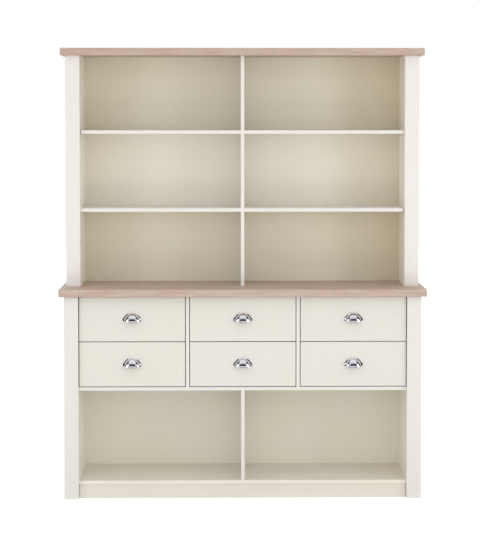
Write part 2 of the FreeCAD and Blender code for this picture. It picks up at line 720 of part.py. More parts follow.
def make_drawer(name, column, row, pull):
    """One drawer: front, two grooved sides, back, bottom and pull."""
    x = "%d * bay_pitch" % column
    front_low = "deck_top + front_row_gap + %d * row_pitch" % row
    low = front_low + " + box_lift"
    groove_low = low + " + bottom_groove_lift"
    sides = [make_drawer_side("%s_side_%s" % (name, SIDE_NAMES[side]), side, x, low)
             for side in (LEFT, RIGHT)]
    reach = "box_inner_half + bottom_groove_depth - fit_clearance"
    pull_copy = copy_of(pull, name + "_pull_copy", FreeCAD.Rotation(), x, "base_front",
                        front_low + " + front_height / 2 - pull_drop")
    return [
        make_drawer_front(name + "_front", x, front_low),
        group(name + "_sides", sides),
        board(name + "_back",
              (x + " - box_inner_half", "front_back + box_length - box_board",
               groove_low + " + bottom_groove_height"),
              ("2 * box_inner_half", "box_board",
               "box_height - bottom_groove_lift - bottom_groove_height")),
        board(name + "_bottom",
              ("%s - (%s)" % (x, reach), "front_back - bottom_groove_depth + fit_clearance",
               groove_low + " + fit_clearance"),
              ("2 * (%s)" % reach, "box_length + bottom_groove_depth - fit_clearance",
               "bottom_thickness")),
        group(name + "_pull", [pull_copy]),
    ]


def make_drawers():
    """Six drawers in two rows of three, with the same pull on each."""
    pull = make_pull_master()
    nodes = []
    for row, row_name in enumerate(("lower", "upper")):
        for column, column_name in ((-1, "left"), (0, "middle"), (1, "right")):
            nodes += make_drawer("drawer_%s_%s" % (row_name, column_name), column, row, pull)
    return nodes


# ---------------------------------------------------------------------------------------
# Build, check and write
# ---------------------------------------------------------------------------------------
def check(nodes):
    """Stop if any object failed or any node has no sound solid."""
    for item in doc.Objects:
        if "Invalid" in item.State or "Error" in item.State:
            raise RuntimeError("%s did not build: %s" % (item.Label, item.State))
    for node in nodes:
        shape = node.Shape
        if shape.isNull() or not shape.isValid() or not shape.Solids:
            raise RuntimeError("%s has no sound solid" % node.Label)


def main():
    """Build every node and write one STEP file for each."""
    write_sheet()
    nodes = make_base() + make_hutch()
    nodes += [make_cam_locks(), make_shelf_pins(), make_runners()]
    nodes += make_drawers()
    doc.recompute()
    check(nodes)
    os.makedirs(NODE_FOLDER, exist_ok=True)
    for node in nodes:
        node.Shape.exportStep(os.path.join(NODE_FOLDER, node.Label + ".step"))
    print("%d nodes, %d solids" % (len(nodes), sum(len(n.Shape.Solids) for n in nodes)))


main()
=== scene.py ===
"""Looks of the dresser with hutch: boards with eased edges, limed oak slabs, chrome cup pulls
and the small fittings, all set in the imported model's own frame and in metres."""

import math

import bpy
import numpy as np
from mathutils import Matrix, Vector


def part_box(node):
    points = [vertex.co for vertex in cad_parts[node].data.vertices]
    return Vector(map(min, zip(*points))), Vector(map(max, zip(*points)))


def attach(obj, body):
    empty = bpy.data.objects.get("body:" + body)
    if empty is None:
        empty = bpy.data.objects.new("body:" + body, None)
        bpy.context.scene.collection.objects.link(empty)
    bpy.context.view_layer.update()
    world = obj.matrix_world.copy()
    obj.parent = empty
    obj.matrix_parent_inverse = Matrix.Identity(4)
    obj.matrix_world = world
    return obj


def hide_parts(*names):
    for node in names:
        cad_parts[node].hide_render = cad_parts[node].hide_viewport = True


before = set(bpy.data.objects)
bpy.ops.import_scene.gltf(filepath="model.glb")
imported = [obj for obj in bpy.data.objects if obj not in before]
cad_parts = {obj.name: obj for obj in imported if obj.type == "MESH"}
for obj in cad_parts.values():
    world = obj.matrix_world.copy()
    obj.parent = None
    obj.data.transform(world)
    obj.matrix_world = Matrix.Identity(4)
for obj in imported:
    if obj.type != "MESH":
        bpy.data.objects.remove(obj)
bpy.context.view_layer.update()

MM = 0.001
COLUMNS = ("left", "middle", "right")
ROWS = ("lower", "upper")
DRAWERS = [f"drawer_{row}_{column}" for row in ROWS for column in COLUMNS]

# Radii of the eased edges.
BOARD_EASE = 0.7 * MM
POST_EASE = 1.2 * MM
SLAB_EASE = 2.0 * MM
FRONT_EASE = 1.6 * MM
SHEET_EASE = 0.3 * MM

QUARTER_STEPS = 5       # grid lines over an eased edge
FIRST_SIDE_END = 0.7    # turn, in radians, up to which an inner corner faces its first side
PLACE_DIGITS = 7        # places that agree to this many decimals of a metre are one vertex
TINY = 1e-12            # a cross product shorter than this gives no direction


# ---------------------------------------------------------------- surfaces

def new_object(name, data):
    """An object for a mesh, a lamp or a camera, linked into the scene."""
    item = bpy.data.objects.new(name, data)
    bpy.context.scene.collection.objects.link(item)
    return item


def make_piece(name, patches, finish, body, nodes=()):
    """One piece from grids of places and outward directions. Places that coincide become one
    vertex, a four-sided face with two corners in one place becomes a triangle, and every face
    corner keeps its grid's own direction, so that flats stay flat and rounds stay smooth."""
    quads, places, outward, start = [], [], [], 0
    for spots, directions in patches:
        rows, columns = spots.shape[:2]
        index = start + np.arange(rows * columns).reshape(rows, columns)
        ring = [index[:-1, :-1], index[:-1, 1:], index[1:, 1:], index[1:, :-1]]
        quads.append(np.stack(ring, -1).reshape(-1, 4))
        places.append(spots.reshape(-1, 3))
        outward.append(directions.reshape(-1, 3))
        start += rows * columns
    quads, places, outward = (np.concatenate(part) for part in (quads, places, outward))
    _, first, merged = np.unique(np.round(places, PLACE_DIGITS) + 0.0, axis=0,
                                 return_index=True, return_inverse=True)
    corners = merged.reshape(-1)[quads]
    kept = corners != np.roll(corners, 1, axis=1)
    folded = (corners[:, 0] == corners[:, 2]) | (corners[:, 1] == corners[:, 3])
    whole = (kept.sum(1) >= 3) & ~folded
    kept = kept[whole]
    loops = corners[whole][kept]
    loop_outward = outward[quads[whole]][kept]
    starts = np.concatenate([[0], np.cumsum(kept.sum(1))[:-1]])
    mesh = bpy.data.meshes.new(name)
    mesh.vertices.add(len(first))
    mesh.vertices.foreach_set("co", places[first].astype(np.float32).ravel())
    mesh.loops.add(len(loops))
    mesh.loops.foreach_set("vertex_index", loops.astype(np.int32))
    mesh.polygons.add(len(starts))
    mesh.polygons.foreach_set("loop_start", starts.astype(np.int32))
    mesh.update(calc_edges=True)
    mesh.validate()
    mesh.shade_smooth()
    if len(mesh.loops) == len(loop_outward):
        mesh.normals_split_custom_set(loop_outward.astype(np.float32))
    mesh.materials.append(finish)
    piece = new_object(name, mesh)
    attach(piece, body)
    if nodes:
        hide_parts(*nodes)
    return piece


def eased_bar(section, ease, low, high, axis, hub=None):
    """A straight bar whose outer edges are all eased to a small round. The section's corners
    are moved in by the ease to give the core. A ring is the core plus the ease times cos(tilt)
    times a direction that turns from one side's outward to the next side's round each outer
    corner; an inner corner keeps both directions at once and so stays square. The ring's
    height is the end plus the ease times sin(tilt), with the tilt going from -90 to 0 degrees
    at the low end and from 0 to 90 at the high end. The first and last rings shrink to the hub
    and close the bar."""
    section = np.asarray(section, float)
    ahead = np.roll(section, -1, axis=0) - section
    ahead /= np.linalg.norm(ahead, axis=1, keepdims=True)
    after = np.stack([ahead[:, 1], -ahead[:, 0]], 1)
    before = np.roll(after, 1, axis=0)
    outer = (before[:, 0] * after[:, 1] - before[:, 1] * after[:, 0] > 0)[:, None, None]
    core = section - ease * (before + after)
    quarter = np.linspace(0, math.pi / 2, QUARTER_STEPS)
    turn = quarter[None, :, None]
    arc = before[:, None] * np.cos(turn) + after[:, None] * np.sin(turn)
    square = np.repeat((before + after)[:, None], QUARTER_STEPS, 1)
    sides = np.where(turn < FIRST_SIDE_END, before[:, None], after[:, None])
    reach = np.where(outer, arc, square).reshape(-1, 2)
    lean = np.where(outer, arc, sides).reshape(-1, 2)
    middle = np.repeat(core, QUARTER_STEPS, 0)
    reach, lean, middle = (np.concatenate([a, a[:1]]) for a in (reach, lean, middle))
    tilt = np.concatenate([quarter - math.pi / 2, quarter])
    height = np.where(np.arange(len(tilt)) < QUARTER_STEPS, low + ease, high - ease)
    height = height + ease * np.sin(tilt)
    flat = middle[None] + ease * np.cos(tilt)[:, None, None] * reach[None]
    hub = core.mean(0) if hub is None else np.asarray(hub, float)
    shut = np.broadcast_to(hub, (1,) + flat.shape[1:])
    flat = np.concatenate([shut, flat, shut])
    height = np.concatenate([height[:1], height, height[-1:]])
    tilt = np.concatenate([tilt[:1], tilt, tilt[-1:]])
    first, second = (axis + 1) % 3, (axis + 2) % 3
    spots = np.empty(flat.shape[:2] + (3,))
    spots[..., first], spots[..., second] = flat[..., 0], flat[..., 1]
    spots[..., axis] = height[:, None]
    directions = np.empty_like(spots)
    directions[..., first] = np.cos(tilt)[:, None] * lean[None, :, 0]
    directions[..., second] = np.cos(tilt)[:, None] * lean[None, :, 1]
    directions[..., axis] = np.sin(tilt)[:, None]
    return spots, directions


def eased_box(low, high, ease):
    """An eased bar whose section is a rectangle, laid along the box's longest side."""
    low, high = np.array(low, float), np.array(high, float)
    axis = int(np.argmax(high - low))
    a, b = (axis + 1) % 3, (axis + 2) % 3
    section = [(low[a], low[b]), (high[a], low[b]), (high[a], high[b]), (low[a], high[b])]
    return eased_bar(section, ease, low[axis], high[axis], axis)


def dress_board(node, ease, finish, body="carcass"):
    """The eased board that stands for one plain board of the model."""
    low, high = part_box(node)
    board = eased_box(low, high, ease)
    return make_piece(node + "_board", [board], finish, body, [node])


def outward_of(spots):
    """Outward directions of a grid, as the cross product of its steps across and its steps
    down. Where the grid shrinks to a point the nearest good direction along the row is used."""
    facing = np.cross(np.gradient(spots, axis=1), np.gradient(spots, axis=0))
    size = np.linalg.norm(facing, axis=-1, keepdims=True)
    good = size[..., 0] > TINY
    facing = facing / np.where(size > TINY, size, 1)
    columns = spots.shape[1]
    earlier = np.where(good, np.arange(columns), -1)
    earlier = np.maximum.accumulate(earlier, axis=1)
    later = np.where(good, np.arange(columns), columns)
    later = np.minimum.accumulate(later[:, ::-1], axis=1)[:, ::-1]
    pick = np.where(earlier < 0, np.minimum(later, columns - 1), earlier)
    return np.take_along_axis(facing, pick[..., None], axis=1)


HEAD_SIDES = 8          # sides of a small head; a slotted one has four times as many
SLOT_HALF = 0.16        # half width of a slot, as a share of the head's radius
SLOT_REACH = 0.62       # how far the slots reach out, as a share of the head's radius


def turned_head(centre, outline, recess=0.0):
    """A small turned head that faces the back. The outline is a list of radius and height,
    carried round the centre. A recess lowers a cross of two slots: a place lies in it where
    the smaller of its two distances from the slots' centre lines is under the slot's half
    width, and its distance from the centre is under the slot's reach."""
    sides = HEAD_SIDES * 4 if recess else HEAD_SIDES
    angle = np.linspace(0, 2 * math.pi, sides + 1)
    radius, height = outline[:, 0][:, None], outline[:, 1][:, None]
    wide, tall = radius * np.cos(angle), radius * np.sin(angle)
    rise = np.repeat(height, len(angle), 1)
    if recess:
        rim = outline[:, 0].max()
        near = np.minimum(abs(wide), abs(tall))
        inside = (near < rim * SLOT_HALF) & (np.hypot(wide, tall) < rim * SLOT_REACH)
        rise = np.where(inside, rise - recess, rise)
    spots = np.stack([centre[0] + tall, centre[1] + rise, centre[2] + wide], -1)
    return spots, outward_of(spots)


# ---------------------------------------------------------------- node helpers

SOCKETS = {"value": "NodeSocketFloat", "vector": "NodeSocketVector",
           "colour": "NodeSocketColor"}
WHITE = (1, 1, 1, 1)


def add_node(tree, kind, **values):
    """A node with its settings; a key that is not a setting fills the input of that name."""
    node = tree.nodes.new(kind)
    for key, value in values.items():
        if hasattr(node, key):
            setattr(node, key, value)
        else:
            node.inputs[key.replace("_", " ")].default_value = value
    return node


def feed(tree, inputs, terms):
    """Fills inputs in turn. A term is a socket to link, or a number or colour to set."""
    for slot, term in zip(inputs, terms):
        if isinstance(term, bpy.types.NodeSocket):
            tree.links.new(term, slot)
        else:
            slot.default_value = term


def new_group(name, inputs, outputs):
    """An empty node group with named inputs and outputs, and its two end nodes."""
    tree = bpy.data.node_groups.new(name, "ShaderNodeTree")
    for way, sockets in (("INPUT", inputs), ("OUTPUT", outputs)):
        for label, kind in sockets.items():
            tree.interface.new_socket(name=label, in_out=way, socket_type=SOCKETS[kind])
    return tree, tree.nodes.new("NodeGroupInput"), tree.nodes.new("NodeGroupOutput")


def use_group(tree, group, vector, **values):
    """A group placed in a material with its own values."""
    node = tree.nodes.new("ShaderNodeGroup")
    node.node_tree = group
    tree.links.new(vector, node.inputs["Vector"])
    for key, value in values.items():
        node.inputs[key.replace("_", " ")].default_value = value
    return node


def mapped(tree, vector, **values):
    """The coordinates after a stretch or a turn."""
    mapping = add_node(tree, "ShaderNodeMapping", **values)
    tree.links.new(vector, mapping.inputs["Vector"])
    return mapping.outputs["Vector"]


def split(tree, vector):
    """The three coordinates of a vector."""
    parts = tree.nodes.new("ShaderNodeSeparateXYZ")
    tree.links.new(vector, parts.inputs[0])
    return parts.outputs[0], parts.outputs[1], parts.outputs[2]


def joined(tree, *terms):
    """A vector from its three coordinates."""
    whole = tree.nodes.new("ShaderNodeCombineXYZ")
    feed(tree, whole.inputs, terms)
    return whole.outputs[0]


def noise(tree, vector, scale, detail, roughness, distortion=0.0):
    """Noise between 0 and 1 on the given coordinates."""
    node = add_node(tree, "ShaderNodeTexNoise", Scale=scale, Detail=detail,
                    Roughness=roughness, Distortion=distortion)
    tree.links.new(vector, node.inputs["Vector"])
    return node.outputs["Fac"]


def sums(tree, operation, *terms):
    """One step of arithmetic; each term is a socket or a plain number."""
    node = add_node(tree, "ShaderNodeMath", operation=operation)
    feed(tree, node.inputs, terms)
    return node.outputs[0]


def times(tree, first, second):
    """The product of two terms."""
    return sums(tree, "MULTIPLY", first, second)


def spread(tree, value, low, high, to_low=0.0, to_high=1.0):
    """The value carried from one range to another, held at the ends."""
    node = tree.nodes.new("ShaderNodeMapRange")
    feed(tree, node.inputs, (value, low, high, to_low, to_high))
    return node.outputs[0]


def blended(tree, factor, first, second, mode="MIX"):
    """Two colours mixed by a factor; each term is a socket, a number or a colour."""
    node = add_node(tree, "ShaderNodeMix", data_type="RGBA", blend_type=mode)
    feed(tree, (node.inputs[0], node.inputs[6], node.inputs[7]), (factor, first, second))
    return node.outputs[2]


# ---------------------------------------------------------------- finishes

CLOUD_SHARE = 0.7                   # of the tone that comes from the wide clouds
WARM_WASH = (0.97, 0.95, 0.90, 1)   # what the warm parts of a lacquer are multiplied by
TONE_GAIN = 4.0
WARM_SHARE = 0.35
DUST_SHARE = 0.6
SHEEN_RANGE = (0.3, 0.7)

SWAY = 0.05                         # metres across which the grain wanders, at most
FIGURE_RANGE = (0.38, 0.64)
FIBRE_RANGE = (0.32, 0.70)
PORE_RANGE = (0.56, 0.68)
GRAIN_ROUGHNESS = (0.3, 1.5, 0.44, 0.62)
FIBRE_RELIEF = 0.5


def make_lacquer_group():
    """Sprayed satin lacquer: soft clouds of tone, a fine orange peel and an uneven sheen. The
    tone is a weighed sum of a wide and a close noise, taken about its middle; it moves the
    colour towards its warm wash. The height is the peel plus a share of the dust."""
    tree, start, end = new_group(
        "sprayed_lacquer",
        {"Vector": "vector", "Colour": "colour", "Cloud": "value", "Sheen Low": "value",
         "Sheen High": "value"},
        {"Colour": "colour", "Roughness": "value", "Height": "value"})
    vector, colour = start.outputs["Vector"], start.outputs["Colour"]
    cloud = noise(tree, vector, scale=2.3, detail=2.0, roughness=0.55)
    drift = noise(tree, vector, scale=19.0, detail=4.0, roughness=0.6)
    tone = sums(tree, "ADD", times(tree, cloud, CLOUD_SHARE),
                times(tree, drift, 1 - CLOUD_SHARE))
    tone = times(tree, sums(tree, "SUBTRACT", tone, 0.5), start.outputs["Cloud"])
    share = sums(tree, "ADD", times(tree, tone, TONE_GAIN), WARM_SHARE)
    warm = blended(tree, 1.0, colour, WARM_WASH, "MULTIPLY")
    patches = noise(tree, vector, scale=55.0, detail=3.0, roughness=0.6)
    sheen = spread(tree, patches, *SHEEN_RANGE, start.outputs["Sheen Low"],
                   start.outputs["Sheen High"])
    peel = noise(tree, vector, scale=620.0, detail=2.0, roughness=0.5)
    dust = noise(tree, vector, scale=160.0, detail=1.0, roughness=0.5)
    height = sums(tree, "ADD", peel, times(tree, dust, DUST_SHARE))
    feed(tree, end.inputs, (blended(tree, share, colour, warm), sheen, height))
    return tree


def make_grain_group():
    """Wood grain that runs along the first coordinate: wandering bands of figure, long fibres
    and short pores, mixed from a ground, a dark and a filled-pore colour. Each is a noise
    drawn out along the grain, on coordinates that sway to the sides by a slow noise."""
    tree, start, end = new_group(
        "wood_grain",
        {"Vector": "vector", "Ground": "colour", "Dark": "colour", "Pore": "colour",
         "Figure": "value", "Fibre": "value", "Pore Share": "value"},
        {"Colour": "colour", "Roughness": "value", "Height": "value"})
    vector = start.outputs["Vector"]
    sway = noise(tree, mapped(tree, vector, Scale=(1.1, 3.0, 3.0)), scale=1.0, detail=2.0,
                 roughness=0.5)
    shift = times(tree, sums(tree, "SUBTRACT", sway, 0.5), SWAY)
    moved = add_node(tree, "ShaderNodeVectorMath", operation="ADD")
    feed(tree, moved.inputs, (vector, joined(tree, 0.0, shift, shift)))
    bent = moved.outputs[0]
    band = noise(tree, mapped(tree, bent, Scale=(6.0, 95.0, 95.0)), scale=1.0, detail=4.0,
                 roughness=0.62, distortion=0.3)
    fibre = noise(tree, mapped(tree, bent, Scale=(9.0, 420.0, 420.0)), scale=1.0, detail=4.0,
                  roughness=0.65)
    pore = noise(tree, mapped(tree, bent, Scale=(70.0, 950.0, 950.0)), scale=1.0, detail=2.0,
                 roughness=0.5)
    figure = times(tree, spread(tree, band, *FIGURE_RANGE), start.outputs["Figure"])
    strand = times(tree, spread(tree, fibre, *FIBRE_RANGE), start.outputs["Fibre"])
    wood = blended(tree, sums(tree, "ADD", figure, strand), start.outputs["Ground"],
                   start.outputs["Dark"])
    pit = spread(tree, pore, *PORE_RANGE)
    filled = times(tree, pit, start.outputs["Pore Share"])
    rough = spread(tree, sums(tree, "ADD", fibre, pit), *GRAIN_ROUGHNESS)
    height = sums(tree, "SUBTRACT", times(tree, fibre, FIBRE_RELIEF), pit)
    feed(tree, end.inputs,
         (blended(tree, filled, wood, start.outputs["Pore"]), rough, height))
    return tree


def make_metal_group():
    """Plated metal: faint smears in the shine and fine hairlines one way."""
    tree, start, end = new_group(
        "plated_metal", {"Vector": "vector", "Shine": "value", "Smear": "value"},
        {"Roughness": "value", "Height": "value"})
    vector = start.outputs["Vector"]
    smear = noise(tree, vector, scale=90.0, detail=4.0, roughness=0.6)
    line = noise(tree, mapped(tree, vector, Scale=(60.0, 60.0, 4200.0)), scale=1.0,
                 detail=2.0, roughness=0.5)
    rough = sums(tree, "ADD", times(tree, smear, start.outputs["Smear"]),
                 start.outputs["Shine"])
    feed(tree, end.inputs, (rough, line))
    return tree


LACQUER = make_lacquer_group()
GRAIN = make_grain_group()
METAL = make_metal_group()


def start_finish(name, specular=0.5, metallic=0.0):
    """A material with its node tree, its shader and its texture coordinates."""
    finish = bpy.data.materials.new(name)
    finish.use_nodes = True
    tree = finish.node_tree
    shader = tree.nodes["Principled BSDF"]
    shader.inputs["Metallic"].default_value = metallic
    shader.inputs["Specular IOR Level"].default_value = specular
    return finish, tree, shader, tree.nodes.new("ShaderNodeTexCoord")


def wear_skin(tree, shader, skin, relief):
    """Feeds a group's roughness to the shader, and its height through a bump of the relief's
    depth."""
    tree.links.new(skin.outputs["Roughness"], shader.inputs["Roughness"])
    bump = add_node(tree, "ShaderNodeBump", Strength=1.0, Distance=relief)
    tree.links.new(skin.outputs["Height"], bump.inputs["Height"])
    tree.links.new(bump.outputs["Normal"], shader.inputs["Normal"])


SPRAY_PEEL = 0.02 * MM
# Painted light: the fade at the ends of the hutch back's paler middle band.
MIDDLE_LIGHT_FADE = 16 * MM
SIDE_PAINTED_SHADE = (0.93, 0.87, 0.79, 1)     # painted shade: what a sheet is multiplied by at its sides
SIDE_SHADE_RIGHT = (0.32, 0.70)             # metres along X where the painted shade starts and is full
SIDE_SHADE_LEFT = (-0.72, -0.40)            # where it is at its share on the left, and ends
SIDE_SHADE_LEFT_SHARE = 0.5
FACES_FRONT = -0.5                      # a front face's direction along Y is under this
FLAT_ON = 0.7                           # a face looks along an axis if it leans over this
# Painted shade that the worktop's underside is multiplied by.
UNDERSIDE_PAINTED_SHADE = (0.42, 0.38, 0.34, 1)
WORKTOP_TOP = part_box("worktop")[1].z


def lacquered(name, colour, cloud, sheen, peel=SPRAY_PEEL, specular=0.45, middle=None):
    """A board in sprayed lacquer. The middle is a low height, a high height and the paler tone
    of the front face between them, painted light that makes the middle bay lighter; such a
    sheet is also given painted shade, darker and yellower, towards its sides."""
    finish, tree, shader, place = start_finish(name, specular)
    skin = use_group(tree, LACQUER, place.outputs["Object"], Colour=colour, Cloud=cloud,
                     Sheen_Low=sheen[0], Sheen_High=sheen[1])
    # Painted light: a paler band over the middle bay; painted shade: darker, yellower sides.
    # Both on front faces only.
    if middle:
        low, high, pale = middle
        across, _, height = split(tree, place.outputs["Object"])
        front = sums(tree, "LESS_THAN", split(tree, place.outputs["Normal"])[1], FACES_FRONT)
        middle_light_mask = times(tree, spread(tree, height, low, low + MIDDLE_LIGHT_FADE),
                       spread(tree, height, high - MIDDLE_LIGHT_FADE, high, 1.0, 0.0))
        # Painted shade towards both sides of the sheet, stronger on the right.
        outer = sums(tree, "ADD", spread(tree, across, *SIDE_SHADE_RIGHT),
                     spread(tree, across, *SIDE_SHADE_LEFT, SIDE_SHADE_LEFT_SHARE, 0.0))
        tone = blended(tree, times(tree, middle_light_mask, front), colour, pale)
        side_shade = blended(tree, times(tree, outer, front), WHITE, SIDE_PAINTED_SHADE)
        tree.links.new(blended(tree, 1.0, tone, side_shade, "MULTIPLY"), skin.inputs["Colour"])
    tree.links.new(skin.outputs["Colour"], shader.inputs["Base Color"])
    wear_skin(tree, shader, skin, peel)
    return finish


def grained(name, ground, dark, pore, figure, fibre, pore_share, relief, banded=False,
            turn=None):
    """Wood in an open finish. Where it is banded, the grain of the end edges runs along them,
    and the worktop's underside is darkened with painted shade."""
    finish, tree, shader, place = start_finish(name, specular=0.35)
    vector = place.outputs["Object"]
    if turn is not None:
        vector = mapped(tree, vector, Rotation=turn)
    if banded:
        x, y, z = split(tree, vector)
        facing = split(tree, place.outputs["Normal"])
        end_edge = sums(tree, "GREATER_THAN", sums(tree, "ABSOLUTE", facing[0]), FLAT_ON)
        pick = add_node(tree, "ShaderNodeMix", data_type="VECTOR")
        feed(tree, (pick.inputs[0], pick.inputs[4], pick.inputs[5]),
             (end_edge, vector, joined(tree, y, x, z)))
        vector = pick.outputs[1]
    skin = use_group(tree, GRAIN, vector, Ground=ground, Dark=dark, Pore=pore, Figure=figure,
                     Fibre=fibre, Pore_Share=pore_share)
    colour = skin.outputs["Colour"]
    # Painted shade: faces that look down and lie under the worktop's top are darkened.
    if banded:
        underside_mask = times(tree, sums(tree, "LESS_THAN", facing[2], -FLAT_ON),
                        sums(tree, "LESS_THAN", z, WORKTOP_TOP))
        shaded = blended(tree, 1.0, colour, UNDERSIDE_PAINTED_SHADE, "MULTIPLY")
        colour = blended(tree, underside_mask, colour, shaded)
    tree.links.new(colour, shader.inputs["Base Color"])
    wear_skin(tree, shader, skin, relief)
    return finish


def plated(name, colour, shine, smear, relief):
    """Plated or cast metal."""
    finish, tree, shader, place = start_finish(name, metallic=1.0)
    shader.inputs["Base Color"].default_value = colour
    skin = use_group(tree, METAL, place.outputs["Object"], Shine=shine, Smear=smear)
    wear_skin(tree, shader, skin, relief)
    return finish


# Painted light: the hutch back is painted paler between these two heights, where its middle bay
# is lit more.
HUTCH_MIDDLE_LIGHT = (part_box("hutch_shelf_lower")[0].z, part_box("hutch_shelf_upper")[1].z,
                (0.788, 0.770, 0.682, 1))
CREAM = lacquered("cream_lacquer", (0.795, 0.768, 0.750, 1), 0.25, (0.36, 0.46))
# Painted shade: a darker copy of the cream for the base's posts and boards.
BASE_SHADED_CREAM = lacquered("cream_lacquer_base_shaded", (0.760, 0.740, 0.716, 1), 0.25, (0.36, 0.46))
# Painted light: a lighter, yellower copy of the cream for the side panels, standing in for
# light bounced round the bays.
INSIDE_LIT_CREAM = lacquered("cream_lacquer_inside_lit", (0.885, 0.862, 0.785, 1), 0.3, (0.38, 0.48))
# Painted light: a yellower copy of the cream for the bottom shelf, standing in for light
# bounced off the cream round it.
SHELF_LIT_CREAM = lacquered("cream_lacquer_shelf_lit", (0.825, 0.790, 0.712, 1), 0.3, (0.38, 0.48))
# Painted shade: a darker copy of the cream for the plinth, low down and shaded from above.
PLINTH_SHADED_CREAM = lacquered("cream_lacquer_plinth_shaded", (0.749, 0.718, 0.665, 1), 0.3, (0.40, 0.50))
FRONT_CREAM = lacquered("cream_lacquer_fronts", (0.731, 0.717, 0.672, 1), 0.3, (0.34, 0.44))
# The hutch back carries the painted light of the middle bay and painted shade at its sides.
BACK = lacquered("painted_hardboard", (0.740, 0.716, 0.590, 1), 0.45, (0.52, 0.64),
                 peel=0.04 * MM, specular=0.3, middle=HUTCH_MIDDLE_LIGHT)
# Painted light: a lighter copy of the back's paint for the base's back sheets.
BASE_LIT_BACK = lacquered("painted_hardboard_base_lit", (0.830, 0.800, 0.700, 1), 0.45, (0.52, 0.64),
                      peel=0.04 * MM, specular=0.3)
BOX_BOARD = lacquered("drawer_foil", (0.790, 0.765, 0.700, 1), 0.3, (0.45, 0.56),
                      peel=0.03 * MM, specular=0.35)
BOX_BOTTOM = lacquered("drawer_bottom_paint", (0.760, 0.730, 0.650, 1), 0.4, (0.5, 0.62),
                       peel=0.04 * MM, specular=0.3)
OAK = grained("limed_oak", ground=(0.575, 0.462, 0.382, 1), dark=(0.425, 0.282, 0.232, 1),
              pore=(0.650, 0.545, 0.475, 1), figure=0.54, fibre=0.42, pore_share=0.50,
              relief=0.10 * MM, banded=True)
BEECH = grained("waxed_beech", ground=(0.600, 0.430, 0.255, 1), dark=(0.470, 0.310, 0.170, 1),
                pore=(0.400, 0.260, 0.150, 1), figure=0.3, fibre=0.3, pore_share=0.25,
                relief=0.05 * MM, turn=(0, 0, math.pi / 2))
CHROME = plated("polished_chrome", (0.86, 0.86, 0.88, 1), 0.035, 0.05, 0.0005 * MM)
NICKEL = plated("nickel_plate", (0.66, 0.64, 0.60, 1), 0.22, 0.12, 0.004 * MM)
ZINC = plated("cast_zinc", (0.52, 0.51, 0.49, 1), 0.38, 0.16, 0.010 * MM)


def refinish(node, finish):
    """A model solid that is shown as it is, in its own finish."""
    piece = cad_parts[node]
    if not piece.material_slots:
        piece.data.materials.append(finish)
    for place in piece.material_slots:
        place.material = finish


# ---------------------------------------------------------------- carcass

POST_BOARD = 15 * MM


def angle_post(node):
    """A corner post of two boards: an L-shaped section carried up the post's height."""
    low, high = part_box(node)
    left, front = low.x < 0, "front" in node
    outer, inner = (low.x, high.x) if left else (high.x, low.x)
    face, rear = (low.y, high.y) if front else (high.y, low.y)
    step = POST_BOARD if left else -POST_BOARD
    inward = POST_BOARD if front else -POST_BOARD
    corners = [(outer, face), (inner, face), (inner, face + inward),
               (outer + step, face + inward), (outer + step, rear), (outer, rear)]
    if left != front:
        corners = corners[::-1]
    hub = (outer + step / 2, face + inward / 2)
    bar = eased_bar(corners, POST_EASE, low.z, high.z, 2, hub)
    # The base's posts take the darker copy of the cream, painted shade.
    cream = BASE_SHADED_CREAM if node.startswith("base") else CREAM
    return make_piece(node + "_angle", [bar], cream, "carcass", [node])


def make_carcass():
    """Tops, plinth, shelves, dividers, posts and side panels."""
    for node in ("worktop", "hutch_top"):
        dress_board(node, SLAB_EASE, OAK)
    # The plinth, the bottom shelf, the base's boards and posts and the side panels take copies
    # of the cream that are darker or lighter: painted shade and painted light.
    dress_board("plinth", BOARD_EASE, PLINTH_SHADED_CREAM)
    dress_board("bottom_shelf", BOARD_EASE, SHELF_LIT_CREAM)
    for node in ("drawer_deck", "lower_divider", "drawer_divider_left", "drawer_divider_right"):
        dress_board(node, BOARD_EASE, BASE_SHADED_CREAM)
    for node in ("hutch_shelf_lower", "hutch_shelf_upper", "hutch_divider_lower",
                 "hutch_divider_middle", "hutch_divider_upper"):
        dress_board(node, BOARD_EASE, CREAM)
    for part in ("base", "hutch"):
        for end in ("front", "rear"):
            for side in ("left", "right"):
                angle_post(f"{part}_post_{end}_{side}")
        for side in ("left", "right"):
            refinish(f"{part}_side_{side}", INSIDE_LIT_CREAM)


SHEET_JOINT = 0.2 * MM      # half the joint between two sheets
PIN_ROOM = 0.4 * MM         # the sheets' rear face stays this far inside the box
PIN_INSET = 8 * MM          # row of pins to the edge of the sheets
PIN_BESIDE = 4 * MM         # row of pins to the joint
PIN_CLEAR = 1 * MM          # a pin nearer to the joint's middle is left out
PINS_ACROSS = 17
PINS_UPWARD = 9
PIN_OUTLINE = np.array([(1.7, -0.1), (1.5, 0.16), (0.8, 0.30), (0, 0.34)]) * MM


